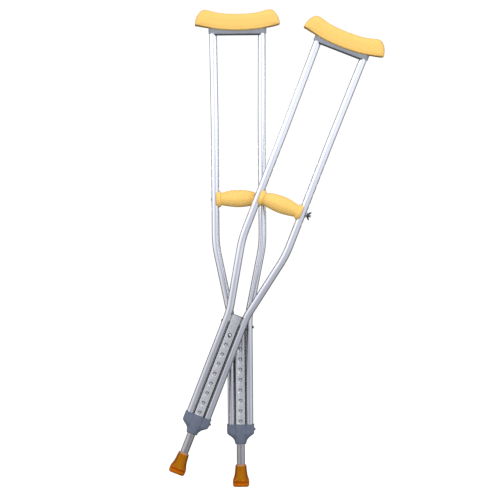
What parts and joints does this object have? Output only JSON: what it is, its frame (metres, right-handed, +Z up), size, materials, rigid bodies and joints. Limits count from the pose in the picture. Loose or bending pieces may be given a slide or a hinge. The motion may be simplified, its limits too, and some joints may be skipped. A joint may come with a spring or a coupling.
{
  "type": "underarm crutches",
  "caption": "Adjustable aluminium underarm crutches: curved foam pad, bent side tubes, bolted foam handgrip, drilled centre profile, telescoping leg and flared amber rubber tip.",
  "frame": {"origin": "centre of the foot face of the upright crutch's rubber tip", "axes": "+Z up along the upright crutch, +X across its width towards the leaning crutch's pad, -Y towards the side the buttons face"},
  "size_m": [0.5352, 0.089, 1.1676],
  "materials": {
    "foam": "matte moulded foam rubber",
    "grey_plastic": "satin moulded",
    "bow_aluminium": "bright satin anodised",
    "profile_aluminium": "satin extruded",
    "leg_aluminium": "satin drawn",
    "steel": "zinc plated",
    "button_steel": "bright nickel",
    "dark_steel": "dark zinc",
    "core_plastic": "natural nylon",
    "amber_rubber": "translucent amber gum rubber"
  },
  "bodies": {
    "frame_a": {"underarm_pad_a": "foam", "pad_saddle_a": "grey_plastic", "saddle_rivet_left_a": "steel", "saddle_rivet_right_a": "steel", "bow_tube_left_a": "bow_aluminium", "bow_tube_right_a": "bow_aluminium", "centre_profile_a": "profile_aluminium", "frame_bolt_a": "dark_steel", "frame_nut_a": "dark_steel", "collar_a": "grey_plastic", "collar_screw_a": "grey_plastic"},
    "leg_a": {"leg_tube_a": "leg_aluminium", "leg_guide_a": "core_plastic", "spring_clip_a": "steel", "crutch_tip_a": "amber_rubber", "tip_washer_a": "steel"},
    "button_a": {"snap_button_a": "button_steel"},
    "grip_a": {"handgrip_a": "foam", "grip_core_a": "core_plastic", "grip_bolt_a": "steel"},
    "clamp_washer_a": {"grip_washer_a": "steel"},
    "wing_nut_a": {"wing_nut_a": "dark_steel"},
    "frame_b": {"underarm_pad_b": "foam", "pad_saddle_b": "grey_plastic", "saddle_rivet_left_b": "steel", "saddle_rivet_right_b": "steel", "bow_tube_left_b": "bow_aluminium", "bow_tube_right_b": "bow_aluminium", "centre_profile_b": "profile_aluminium", "frame_bolt_b": "dark_steel", "frame_nut_b": "dark_steel", "collar_b": "grey_plastic", "collar_screw_b": "grey_plastic"},
    "leg_b": {"leg_tube_b": "leg_aluminium", "leg_guide_b": "core_plastic", "spring_clip_b": "steel", "crutch_tip_b": "amber_rubber", "tip_washer_b": "steel"},
    "button_b": {"snap_button_b": "button_steel"},
    "grip_b": {"handgrip_b": "foam", "grip_core_b": "core_plastic", "grip_bolt_b": "steel"},
    "clamp_washer_b": {"grip_washer_b": "steel"},
    "wing_nut_b": {"wing_nut_b": "dark_steel"}
  },
  "joints": [
    {"name": "leg_slide_a", "type": "slide", "parent": "frame_a", "child": "leg_a", "axis": [0, 0, -1], "range_m": [0, 0.2032], "deforming": ["snap_button_a"]},
    {"name": "button_press_a", "type": "slide", "parent": "leg_a", "child": "button_a", "axis": [0, 1, 0], "range_m": [0, 0.0046], "stiffness_N_per_m": 150, "deforming": ["spring_clip_a"]},
    {"name": "grip_height_a", "type": "slide", "parent": "frame_a", "child": "grip_a", "axis": [0, 0, 1], "range_m": [-0.0254, 0.127]},
    {"name": "washer_slide_a", "type": "slide", "parent": "grip_a", "child": "clamp_washer_a", "axis": [1, 0, 0], "range_m": [0, 0.003]},
    {"name": "wing_nut_turn_a", "type": "hinge", "parent": "clamp_washer_a", "child": "wing_nut_a", "pos_m": [0.072, 0, 0.704], "axis": [1, 0, 0], "range_deg": [0, 1082]},
    {"name": "crutch_b_apart", "type": "slide", "parent": "frame_a", "child": "frame_b", "axis": [0, -1, 0], "range_m": [0, 0.3]},
    {"name": "leg_slide_b", "type": "slide", "parent": "frame_b", "child": "leg_b", "axis": [-0.3697, 0, -0.9291], "range_m": [0, 0.2032], "deforming": ["snap_button_b"]},
    {"name": "button_press_b", "type": "slide", "parent": "leg_b", "child": "button_b", "axis": [0, 1, 0], "range_m": [0, 0.0046], "stiffness_N_per_m": 150, "deforming": ["spring_clip_b"]},
    {"name": "grip_height_b", "type": "slide", "parent": "frame_b", "child": "grip_b", "axis": [0.3697, 0, 0.9291], "range_m": [-0.0254, 0.127]},
    {"name": "washer_slide_b", "type": "slide", "parent": "grip_b", "child": "clamp_washer_b", "axis": [0.9291, 0, -0.3697], "range_m": [0, 0.003]},
    {"name": "wing_nut_turn_b", "type": "hinge", "parent": "clamp_washer_b", "child": "wing_nut_b", "pos_m": [0.1684, -0.043, 0.66199], "axis": [0.9291, 0, -0.3697], "range_deg": [0, 1082]}
  ],
  "couplings": [
    {"joint": "wing_nut_turn_a", "follows": "washer_slide_a", "rad_per_m": 6283.2},
    {"joint": "wing_nut_turn_b", "follows": "washer_slide_b", "rad_per_m": 6283.2}
  ]
}
